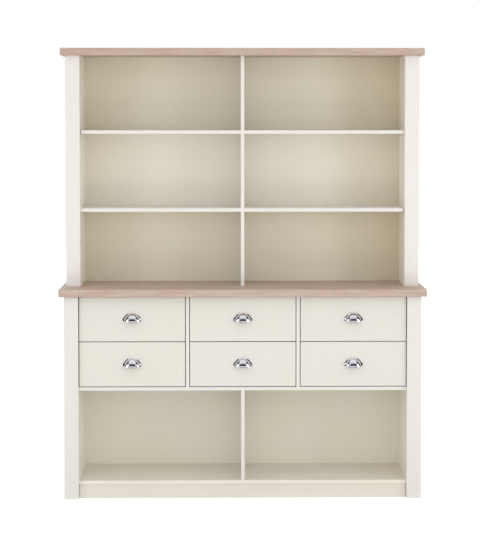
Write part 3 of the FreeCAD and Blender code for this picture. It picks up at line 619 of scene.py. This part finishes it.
def make_backs():
    """Two sheets behind the base and two behind the hutch, with a hairline of joint between,
    and the pins that hold them: small domes a third of a millimetre proud of the sheet."""
    # The base's sheets take the lighter copy of the paint, painted light; the hutch's carry a
    # painted lighter middle and painted shade at the sides.
    for node, paint in (("base_back_panels", BASE_LIT_BACK), ("hutch_back_panels", BACK)):
        low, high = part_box(node)
        rear = high.y - PIN_ROOM
        sheets = [eased_box((low.x, low.y, low.z), (-SHEET_JOINT, rear, high.z), SHEET_EASE),
                  eased_box((SHEET_JOINT, low.y, low.z), (high.x, rear, high.z), SHEET_EASE)]
        make_piece(node + "_sheets", sheets, paint, "carcass", [node])
        left, right = low.x + PIN_INSET, high.x - PIN_INSET
        bottom, top = low.z + PIN_INSET, high.z - PIN_INSET
        across = np.linspace(left, right, PINS_ACROSS)
        across = across[abs(across) > PIN_CLEAR]
        upward = np.linspace(bottom, top, PINS_UPWARD)[1:-1]
        spots = [(x, z) for x in across for z in (bottom, top)]
        spots += [(x, z) for z in upward for x in (left, -PIN_BESIDE, PIN_BESIDE, right)]
        heads = [turned_head((x, rear, z), PIN_OUTLINE) for x, z in spots]
        make_piece(node + "_nails", heads, NICKEL, "carcass")


# ---------------------------------------------------------------- cup pulls

# Outline from the front, in millimetres. Heights are over a level line this far under the top.
PULL_TOP = 29.5
PULL_HALF = 41.0
SHOULDER_END = 39.0         # where a shoulder runs into its ear
SHOULDER_PINCH = 1.2
SHOULDER_BEND = 24.0
SHOULDER_STEPS = 36
EAR_STEPS = 16

# The line where the dome starts: half width, rise, roundness and drop of its ends.
START_HALF = 32.5
START_RISE = 30.4
START_POWER = 1.1
START_DROP = 5.0

PULL_EDGE = 1.2 * MM        # upright edge of the rim
PULL_FALL = 0.56            # slope of the bevelled rim
HOLLOW_SHARE = 0.25         # inner share of the rim that the hollow takes up
COLLAR_LOW = 1.2 * MM       # rise of the dome's start line off the rim, at the ends
COLLAR_RISE = 5.8 * MM      # and what is added to it at the top
COLLAR_POWER = 0.7
DOME_START = math.radians(45)
DOME_END = math.radians(95)
DOME_ROOM = 0.65 * MM       # the dome stays this far inside the box, for the lip
DOME_POWER = 0.85
MOUTH_DROP = 11.2 * MM      # from that level line down to the lip's lowest point
SHELL_WALL = 2.0 * MM
LIP_RADIUS = 1.7 * MM
LIP_SEAT = 0.588            # cosine of the angle at which the lip meets the wall
LIP_FADE = 0.35             # the lip shrinks to nothing over this share at the ears
EDGE_STEPS, HOLLOW_STEPS, DOME_STEPS, LIP_STEPS = 6, 7, 32, 19


def pull_outline():
    """Outline of the pull seen from the front, and its outward directions, from the foot of
    the right ear over the top to the foot of the left. The top is flat in the middle and turns
    into straight shoulders: it falls by the sixth root of ((pinch times x) to the sixth plus
    the bend to the sixth), less the bend. Each shoulder runs into a round ear, an arc that
    touches it and the full width."""
    x = np.linspace(0, SHOULDER_END, SHOULDER_STEPS)
    power = (SHOULDER_PINCH * x) ** 6 + SHOULDER_BEND ** 6
    z = PULL_TOP - (power ** (1 / 6) - SHOULDER_BEND)
    slope = SHOULDER_PINCH * (SHOULDER_PINCH * x) ** 5 / power ** (5 / 6)
    lean = np.stack([slope, np.ones_like(slope)], 1)
    lean /= np.linalg.norm(lean, axis=1, keepdims=True)
    radius = (PULL_HALF - x[-1]) / (1 - lean[-1, 0])
    centre = np.array([x[-1], z[-1]]) - radius * lean[-1]
    turned = math.atan2(lean[-1, 1], lean[-1, 0])
    angle = np.linspace(turned, -math.pi / 2, EAR_STEPS)[1:]
    ear = np.stack([np.cos(angle), np.sin(angle)], 1)
    line = np.concatenate([np.stack([x, z], 1), centre + radius * ear]) * MM
    lean = np.concatenate([lean, ear])
    mirror = np.array([-1, 1])
    return (np.concatenate([line[::-1], line[1:] * mirror]),
            np.concatenate([lean[::-1], lean[1:] * mirror]))


def cup_pull(node, body):
    """A pressed and plated cup pull. A bevelled rim runs from the outline in to the dome's own
    start line, which is half an ellipse seen from the front. From each point of that line a
    piece of an ellipse goes out and down to the mouth: its height falls with cos(t) from start
    to mouth, and its depth grows with sin(t) from the foot. The mouth is half an ellipse in
    plan, lower in the middle. The wall is the same sheet moved in by its thickness, the lip is
    a bead rolled round the mouth, and both ends are closed on the face of the ears."""
    low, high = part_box(node)
    line, lean = pull_outline()
    run = np.concatenate([[0], np.cumsum(np.linalg.norm(np.diff(line, axis=0), axis=1))])
    swing = (0.5 - run / run[-1]) * math.pi
    side, front = np.sin(swing), np.abs(np.cos(swing))
    front[[0, -1]] = 0.0
    base = np.stack([START_HALF * side, START_RISE * front ** START_POWER - START_DROP], 1) * MM
    width = np.linalg.norm(line - base, axis=1)
    step = PULL_EDGE + PULL_FALL * width
    foot_depth = step + COLLAR_LOW + COLLAR_RISE * front ** COLLAR_POWER
    deep = (high.y - low.y) - DOME_ROOM - foot_depth[len(swing) // 2]
    deep = deep * front ** DOME_POWER
    fall = (math.sin(DOME_END) - math.sin(DOME_START)) / (1 - math.sin(DOME_START))
    foot = base[0]
    mouth_x = foot[0] * side
    mouth_y = -(foot_depth + deep * fall)
    mouth_z = foot[1] - (foot[1] + MOUTH_DROP - LIP_RADIUS) * (1 - side ** 4)
    rolled = np.clip(front / LIP_FADE, 0, 1) ** 0.5
    lip = LIP_RADIUS * rolled
    along = np.gradient(np.stack([mouth_x, mouth_y], 1), axis=0)
    plan = np.stack([-along[:, 1], along[:, 0]], 1)
    plan /= np.linalg.norm(plan, axis=1, keepdims=True)
    roll = math.acos(LIP_SEAT)

    def at(share, depth, inset=0.0):
        """Places at a share of the way from the start line to the outline, and at a depth."""
        spot = base + share * (line - base) - np.reshape(inset, (-1, 1)) * lean
        return np.stack([spot[:, 0], -depth * np.ones(len(spot)), spot[:, 1]], 1)

    def hollow(t):
        """One line of the hollow between rim and dome, a curve pulled into their corner."""
        depth = ((1 - t) ** 2 * (step - HOLLOW_SHARE * PULL_FALL * width)
                 + 2 * t * (1 - t) * step + t ** 2 * foot_depth)
        return at(HOLLOW_SHARE * (1 - t) ** 2, depth)

    def swung(t):
        """One line of the dome, at the angle t of its ellipse. It starts a little past the
        ellipse's top and ends a little under its furthest point, so that the mouth tucks in."""
        rise = mouth_z + lip * math.sin(roll)
        away = (math.cos(t) - math.cos(DOME_END)) / (math.cos(DOME_START) - math.cos(DOME_END))
        out = (math.sin(t) - math.sin(DOME_START)) / (1 - math.sin(DOME_START))
        return np.stack([mouth_x + (base[:, 0] - mouth_x) * away, -(foot_depth + deep * out),
                         rise + (base[:, 1] - rise) * away], 1)

    def beaded(t):
        """One line of the lip, at the angle t round its section."""
        out = lip * (math.cos(t) - LIP_SEAT)
        return np.stack([mouth_x + plan[:, 0] * out, mouth_y + plan[:, 1] * out,
                         mouth_z + lip * math.sin(t)], 1)

    corner = PULL_EDGE / 2
    rim = [at(1.0, 0.0)]
    rim += [at(1.0, corner + corner * math.sin(t), corner * (1 - math.cos(t)))
            for t in np.linspace(0, math.pi / 2, EDGE_STEPS)]
    rim += [at(share, PULL_EDGE + PULL_FALL * width * (1 - share)) for share in (0.8, 0.6, 0.4)]
    rim += [hollow(t) for t in np.linspace(0, 1, HOLLOW_STEPS)]
    shell = np.stack([swung(t) for t in np.linspace(DOME_START, DOME_END, DOME_STEPS)])
    bead = [beaded(t) for t in np.linspace(roll, -math.pi - roll, LIP_STEPS)]
    wall = np.reshape(SHELL_WALL * rolled, (1, -1, 1))
    inner = (shell - wall * outward_of(shell))[::-1]
    rows = np.concatenate([np.stack(rim), shell[1:], np.stack(bead[1:]), inner[1:],
                           at(0.0, 0.0, SHELL_WALL * rolled)[None], at(1.0, 0.0)[None]])
    rows = rows + np.array([(low.x + high.x) / 2, high.y, high.z - PULL_TOP * MM])
    patches = [(rows, outward_of(rows))]
    for end, way in ((0, -1.0), (-1, 1.0)):
        ring = rows[:, end]
        middle = np.broadcast_to(ring.mean(0), ring.shape)
        cap = np.stack((middle, ring) if end == 0 else (ring, middle), 1)
        patches.append((cap, np.broadcast_to(np.array([way, 0.0, 0.0]), cap.shape)))
    return make_piece(node + "_cup", patches, CHROME, body, [node])


# ---------------------------------------------------------------- drawers

SCREW_DROP = 30.1 * MM      # top of the pull to its screws
SCREW_REACH = 32 * MM       # middle of the pull to each screw
SCREW_RECESS = 0.9 * MM
SCREW_OUTLINE = np.array([(3.7, 0.0), (3.7, 0.3), (3.6, 0.9), (2.9, 1.7), (1.6, 2.2),
                          (0, 2.3)]) * MM


def make_drawers():
    """Fronts with eased edges, cup pulls with their two screws, and the boxes behind them."""
    for drawer in DRAWERS:
        dress_board(drawer + "_front", FRONT_EASE, FRONT_CREAM, drawer)
        refinish(drawer + "_sides", BOX_BOARD)
        dress_board(drawer + "_back", BOARD_EASE, BOX_BOARD, drawer)
        refinish(drawer + "_bottom", BOX_BOTTOM)
        cup_pull(drawer + "_pull", drawer)
        low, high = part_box(drawer + "_pull")
        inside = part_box(drawer + "_front")[1].y
        middle, height = (low.x + high.x) / 2, high.z - SCREW_DROP
        heads = [turned_head((middle + reach, inside, height), SCREW_OUTLINE, SCREW_RECESS)
                 for reach in (-SCREW_REACH, SCREW_REACH)]
        make_piece(drawer + "_pull_screws", heads, NICKEL, drawer)


def finish_fittings():
    """Cam locks, shelf pins and runners keep the model's solids."""
    refinish("cam_locks", ZINC)
    refinish("shelf_pins", NICKEL)
    refinish("drawer_runners", BEECH)


make_carcass()
make_backs()
make_drawers()
finish_fittings()


# ---------------------------------------------------------------- studio

FLOOR_REACH = 14.0
FLOOR_DROP = 0.5 * MM
FLOOR_PAINT = (0.80, 0.785, 0.745, 1)
SHADOW_GREY = (0.34, 0.34, 0.34, 1)
FLOOR_GLOW = (1.0, 4.0, 0.80, 1.0)      # metres and strengths near the object and far from it

CARD_BACK = -9.0                        # the upright cards stand here, behind the camera
CARD_TOP = 6.4
CARD_SIDE = 4.2
CARD_EDGE = -2.7                        # where the side cards end towards the camera
CARD_SPLIT = 2.9
FLOOR_SPLIT = 1.8
FLOOR_NEAR = -6.0
FLOOR_FAR = -0.68
FLOOR_LIFT, STRIP_LIFT = 0.010, 0.012

DARK, DUSK, HAZE = (0.03, 0.03, 0.04, 1), (0.42, 0.43, 0.52, 1), (0.80, 0.78, 0.84, 1)
PALE, MIDDLE, BRIGHT = (0.74, 0.74, 0.77, 1), (0.42, 0.42, 0.45, 1), (0.9, 0.89, 0.92, 1)
DIM, GREY = (0.32, 0.32, 0.35, 1), (0.60, 0.60, 0.63, 1)


def cleared_tree(owner):
    """The emptied node tree of a world or a material."""
    owner.use_nodes = True
    owner.node_tree.nodes.clear()
    return owner.node_tree


def make_world():
    """Plain white light from all round, which is white behind the object too."""
    world = bpy.data.worlds.new("studio_world")
    bpy.context.scene.world = world
    tree = cleared_tree(world)
    around = add_node(tree, "ShaderNodeBackground", Strength=1.0, Color=WHITE)
    out = tree.nodes.new("ShaderNodeOutputWorld")
    tree.links.new(around.outputs[0], out.inputs[0])


def make_floor():
    """A plain pale floor that takes the object's shadow. To the camera, and in metal or glass,
    it is a grey that takes the shadow plus a glow that grows to white away from the object; to
    all other light it is a matt off-white."""
    mesh = bpy.data.meshes.new("studio_floor")
    mesh.from_pydata(level(-FLOOR_REACH, FLOOR_REACH, -FLOOR_REACH, FLOOR_REACH, 0), [],
                     [(0, 1, 2, 3)])
    floor = new_object("studio_floor", mesh)
    floor.location.z = -FLOOR_DROP
    finish = bpy.data.materials.new("studio_floor_white")
    tree = cleared_tree(finish)
    matt = add_node(tree, "ShaderNodeBsdfDiffuse", Color=FLOOR_PAINT)
    shaded = add_node(tree, "ShaderNodeBsdfDiffuse", Color=SHADOW_GREY)
    glow = add_node(tree, "ShaderNodeEmission", Color=WHITE)
    place = tree.nodes.new("ShaderNodeTexCoord")
    length = add_node(tree, "ShaderNodeVectorMath", operation="LENGTH")
    tree.links.new(place.outputs["Object"], length.inputs[0])
    tree.links.new(spread(tree, length.outputs["Value"], *FLOOR_GLOW), glow.inputs["Strength"])
    path = tree.nodes.new("ShaderNodeLightPath")
    looked_at = sums(tree, "MAXIMUM", path.outputs["Is Camera Ray"],
                     path.outputs["Is Glossy Ray"])
    looked_at = sums(tree, "MAXIMUM", looked_at, path.outputs["Is Transmission Ray"])
    seen = tree.nodes.new("ShaderNodeAddShader")
    mix = tree.nodes.new("ShaderNodeMixShader")
    out = tree.nodes.new("ShaderNodeOutputMaterial")
    feed(tree, seen.inputs, (shaded.outputs[0], glow.outputs[0]))
    feed(tree, mix.inputs, (looked_at, matt.outputs[0], seen.outputs[0]))
    tree.links.new(mix.outputs[0], out.inputs[0])
    mesh.materials.append(finish)


def make_lamp(name, place, aim, size, power):
    """A white rectangular area lamp at a place, turned to a point."""
    light = bpy.data.lights.new(name, "AREA")
    light.shape = "RECTANGLE"
    light.size, light.size_y = size
    light.energy = power
    lamp = new_object(name, light)
    lamp.location = place
    toward = np.array(aim, float) - np.array(place, float)
    lamp.rotation_mode = "QUATERNION"
    lamp.rotation_quaternion = Vector(toward).to_track_quat("-Z", "Y")
    return lamp


def level(left, right, near, far, height):
    """Corners of a level rectangle."""
    return [(left, near, height), (right, near, height), (right, far, height),
            (left, far, height)]


def upright(left, right):
    """Corners of a rectangle that stands behind the camera."""
    return [(left, CARD_BACK, 0.0), (right, CARD_BACK, 0.0), (right, CARD_BACK, CARD_TOP),
            (left, CARD_BACK, CARD_TOP)]


def make_card(name, corners, low, high=None, fade=(0.0, 1.0)):
    """A card that only metal and gloss can see, so that the chrome has something to show. Its
    glow goes from the low colour to the high one between two heights, or is the low one."""
    mesh = bpy.data.meshes.new(name)
    mesh.from_pydata(corners, [], [tuple(range(len(corners)))])
    card = new_object(name, mesh)
    finish = bpy.data.materials.new(name + "_glow")
    tree = cleared_tree(finish)
    place = tree.nodes.new("ShaderNodeTexCoord")
    share = spread(tree, split(tree, place.outputs["Object"])[2], *fade)
    glow = tree.nodes.new("ShaderNodeEmission")
    out = tree.nodes.new("ShaderNodeOutputMaterial")
    tree.links.new(blended(tree, share, low, high or low), glow.inputs["Color"])
    tree.links.new(glow.outputs[0], out.inputs[0])
    mesh.materials.append(finish)
    for ray in ("camera", "diffuse", "shadow", "transmission", "volume_scatter"):
        setattr(card, "visible_" + ray, False)


def make_cards():
    """Cards behind the camera, overhead, on the floor and at both sides."""
    make_card("card_behind", upright(-CARD_SPLIT, CARD_SPLIT), DARK, DUSK, (3.0, 6.2))
    make_card("card_over", [(-6, CARD_BACK, CARD_TOP), (6, CARD_BACK, CARD_TOP),
                            (6, 2.0, 9.4), (-6, 2.0, 9.4)], HAZE, BRIGHT, (CARD_TOP, 9.4))
    make_card("card_floor", level(-FLOOR_SPLIT, FLOOR_SPLIT, FLOOR_NEAR, FLOOR_FAR, FLOOR_LIFT),
              PALE)
    make_card("card_strip", level(-CARD_SIDE, CARD_SIDE, FLOOR_FAR, -0.2, STRIP_LIFT), DARK)
    pairs = (
        ("card_beside", upright(CARD_SPLIT, 9.0), DIM, GREY, (1.5, 6.2)),
        ("card_high", [(3.5, -4.2, 3.75), (CARD_SIDE, CARD_EDGE, 3.35),
                       (CARD_SIDE, CARD_EDGE, 4.9), (3.5, -4.2, 5.0)], DARK),
        ("card_side", [(CARD_SIDE, 0.5, 0.0), (CARD_SIDE, CARD_EDGE, 0.0),
                       (CARD_SIDE, CARD_EDGE, 4.9), (CARD_SIDE, -1.3, 9.5),
                       (CARD_SIDE, 0.5, 9.5)], DARK),
        ("card_low", level(FLOOR_SPLIT, 7.5, FLOOR_NEAR, FLOOR_FAR, FLOOR_LIFT), MIDDLE),
        ("card_wedge", [(1.3, FLOOR_FAR, STRIP_LIFT), (CARD_SIDE, CARD_EDGE, STRIP_LIFT),
                        (CARD_SIDE, FLOOR_FAR, STRIP_LIFT)], DARK))
    for side, hand in ((-1, "left"), (1, "right")):
        for name, corners, *glow in pairs:
            make_card(f"{name}_{hand}", [(side * x, y, z) for x, y, z in corners], *glow)


def make_camera():
    """The camera, level but for a slight fall, with its picture shifted to frame the object."""
    data = bpy.data.cameras.new("camera")
    data.sensor_width = 36.0
    data.lens = 113.47
    data.shift_x, data.shift_y = -0.0283, -0.1407
    data.clip_start, data.clip_end = 0.1, 100.0
    camera = new_object("camera", data)
    camera.location = (-0.0570, -7.4788, 1.6488)
    camera.rotation_mode = "XYZ"
    camera.rotation_euler = (math.pi / 2 - 0.04503, 0.0, -0.01514)
    bpy.context.scene.camera = camera


bpy.context.scene.view_settings.view_transform = "Standard"
make_world()
make_floor()
make_lamp("key_lamp", place=(-4.9, -3.9, 1.35), aim=(0, 0, 1.0), size=(1.9, 1.9), power=29.5)
make_lamp("fill_lamp", place=(4.9, -3.9, 1.35), aim=(0, 0, 1.0), size=(1.5, 1.9), power=43.5)
bounce_lamp = make_lamp("bounce_lamp", place=(0, -1.9, 0.04), aim=(0, -1.2, 1.0),
                        size=(4.0, 1.4), power=19.5)
bounce_lamp.visible_camera = False
bounce_lamp.visible_glossy = False
make_cards()
make_camera()
